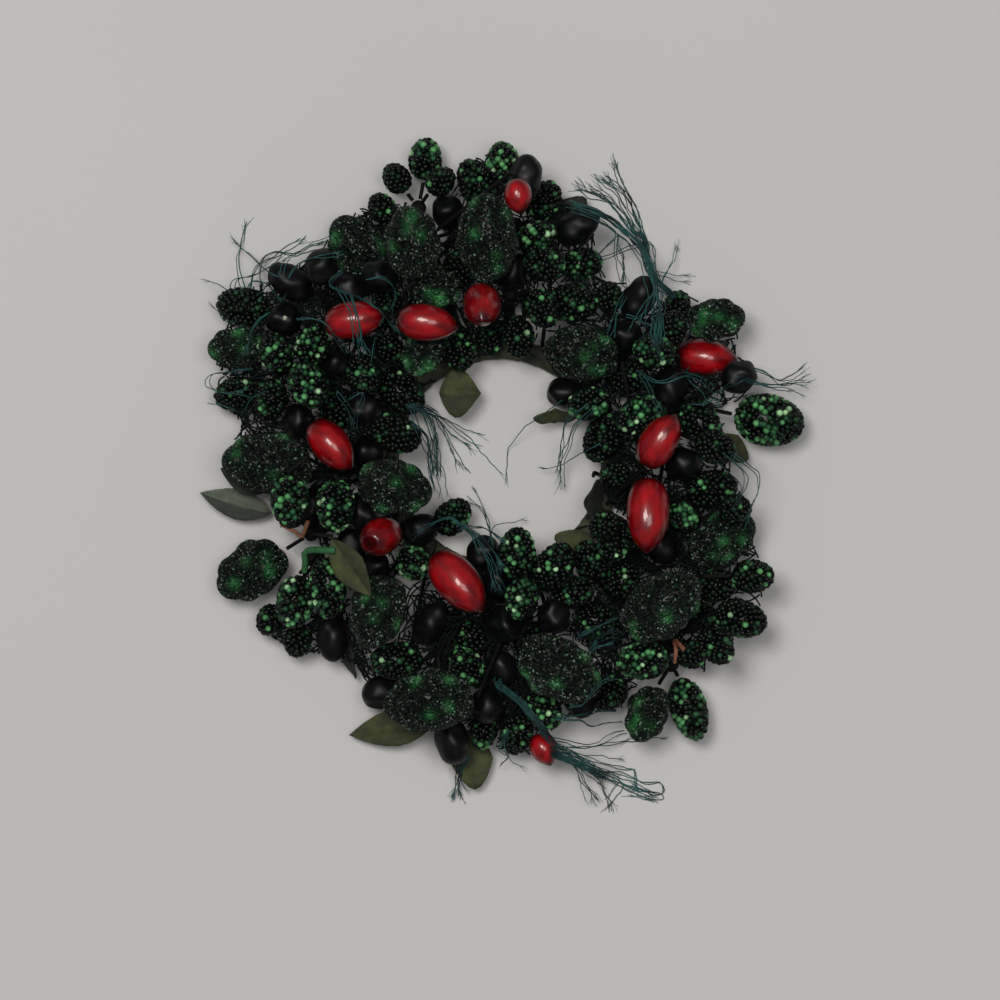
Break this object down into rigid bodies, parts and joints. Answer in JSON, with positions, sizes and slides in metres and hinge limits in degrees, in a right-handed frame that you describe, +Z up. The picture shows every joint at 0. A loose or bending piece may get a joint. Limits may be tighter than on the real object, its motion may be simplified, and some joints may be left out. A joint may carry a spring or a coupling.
{
  "type": "candle ring",
  "caption": "Small wreath of beaded berries, sugared fruit, red hips, fabric leaves and twine on a taped wire hoop; it stands flat round the base of a candle.",
  "frame": {"origin": "middle of the candle hole, on the plane the ring stands on", "axes": "+Z up along the candle; +X and +Y are right and up in the picture, which looks straight down"},
  "size_m": [0.1231, 0.1366, 0.0298],
  "materials": {
    "hoop_wire": "drawn steel wire",
    "floral_tape": "waxed crepe paper tape, olive",
    "stem_wire": "green wrapped wire",
    "beaded_skin": "small clear green beads over a dark core",
    "sugared_skin": "fine glassy granules over a dark green core",
    "dark_skin": "smooth satin, almost black",
    "red_lacquer": "glossy red lacquer with pale streaks",
    "leaf": "stiffened woven cloth, olive green",
    "pale_leaf": "stiffened woven cloth, pale grey green",
    "twine": "frayed jute twine, dark teal green"
  },
  "bodies": {
    "ring": {"east_beaded_berries": "beaded_skin", "east_dark_berries": "dark_skin", "east_red_hips": "red_lacquer", "east_stems": "stem_wire", "east_sugared_fruit": "sugared_skin", "fixed_leaves": "leaf", "inner_left_twine_tuft": "twine", "lower_right_twine_tail": "twine", "north_beaded_berries": "beaded_skin", "north_dark_berries": "dark_skin", "north_east_beaded_berries": "beaded_skin", "north_east_dark_berries": "dark_skin", "north_east_red_hips": "red_lacquer", "north_east_stems": "stem_wire", "north_east_sugared_fruit": "sugared_skin", "north_red_hips": "red_lacquer", "north_stems": "stem_wire", "north_sugared_fruit": "sugared_skin", "north_west_beaded_berries": "beaded_skin", "north_west_dark_berries": "dark_skin", "north_west_red_hips": "red_lacquer", "north_west_stems": "stem_wire", "north_west_sugared_fruit": "sugared_skin", "right_twine_tuft": "twine", "south_beaded_berries": "beaded_skin", "south_dark_berries": "dark_skin", "south_east_beaded_berries": "beaded_skin", "south_east_stems": "stem_wire", "south_east_sugared_fruit": "sugared_skin", "south_red_hips": "red_lacquer", "south_stems": "stem_wire", "south_sugared_fruit": "sugared_skin", "south_west_beaded_berries": "beaded_skin", "south_west_dark_berries": "dark_skin", "south_west_red_hips": "red_lacquer", "south_west_stems": "stem_wire", "south_west_sugared_fruit": "sugared_skin", "tape_wrap": "floral_tape", "top_right_twine_bundle": "twine", "upper_left_twine_tuft": "twine", "west_beaded_berries": "beaded_skin", "west_dark_berries": "dark_skin", "west_red_hips": "red_lacquer", "west_stems": "stem_wire", "west_sugared_fruit": "sugared_skin", "wire_hoop": "hoop_wire"},
    "bottom_leaf": {"bottom_leaf": "leaf"},
    "bottom_left_leaf": {"bottom_left_leaf": "leaf"},
    "hole_leaf": {"hole_leaf": "pale_leaf"},
    "left_leaf": {"left_leaf": "pale_leaf"},
    "lower_left_sprig": {"lower_left_sprig_stems": "stem_wire", "lower_left_sprig_sugared_fruit": "sugared_skin"},
    "lower_right_sprig": {"lower_right_sprig_beaded_berry": "beaded_skin", "lower_right_sprig_stems": "stem_wire", "lower_right_sprig_sugared_fruit": "sugared_skin"},
    "right_sprig": {"right_sprig_beaded_berry": "beaded_skin", "right_sprig_stems": "stem_wire"},
    "top_sprig": {"top_sprig_beaded_berries": "beaded_skin", "top_sprig_stems": "stem_wire"}
  },
  "joints": [
    {"name": "top_sprig_bend", "type": "hinge", "parent": "ring", "child": "top_sprig", "pos_m": [-0.0166, 0.0514, 0.0075], "axis": [1, 0, 0], "range_deg": [-6, 20]},
    {"name": "right_sprig_bend", "type": "hinge", "parent": "ring", "child": "right_sprig", "pos_m": [0.042, 0.0106, 0.0075], "axis": [-0.1736, -0.9848, 0], "range_deg": [-4, 20]},
    {"name": "lower_right_sprig_bend", "type": "hinge", "parent": "ring", "child": "lower_right_sprig", "pos_m": [0.0348, -0.0414, 0.0075], "axis": [-1, 0, 0], "range_deg": [-6, 20]},
    {"name": "lower_left_sprig_bend", "type": "hinge", "parent": "ring", "child": "lower_left_sprig", "pos_m": [-0.0384, -0.0148, 0.0075], "axis": [-0.5299, 0.848, 0], "range_deg": [-2, 20]},
    {"name": "left_leaf_bend", "type": "hinge", "parent": "ring", "child": "left_leaf", "pos_m": [-0.04593, -0.01103, 0.00354], "axis": [0.2924, 0.9563, 0], "range_deg": [-6, 20]},
    {"name": "bottom_left_leaf_bend", "type": "hinge", "parent": "ring", "child": "bottom_left_leaf", "pos_m": [-0.01231, -0.05307, 0.00358], "axis": [-0.1564, 0.9877, 0], "range_deg": [-6, 20]},
    {"name": "bottom_leaf_bend", "type": "hinge", "parent": "ring", "child": "bottom_leaf", "pos_m": [-0.00643, -0.0539, 0.00358], "axis": [-0.9976, -0.0698, 0], "range_deg": [-6, 20]},
    {"name": "hole_leaf_bend", "type": "hinge", "parent": "ring", "child": "hole_leaf", "pos_m": [-0.00801, 0.0197, 0.00638], "axis": [-0.9998, 0.0175, 0], "range_deg": [-8, 20]}
  ]
}
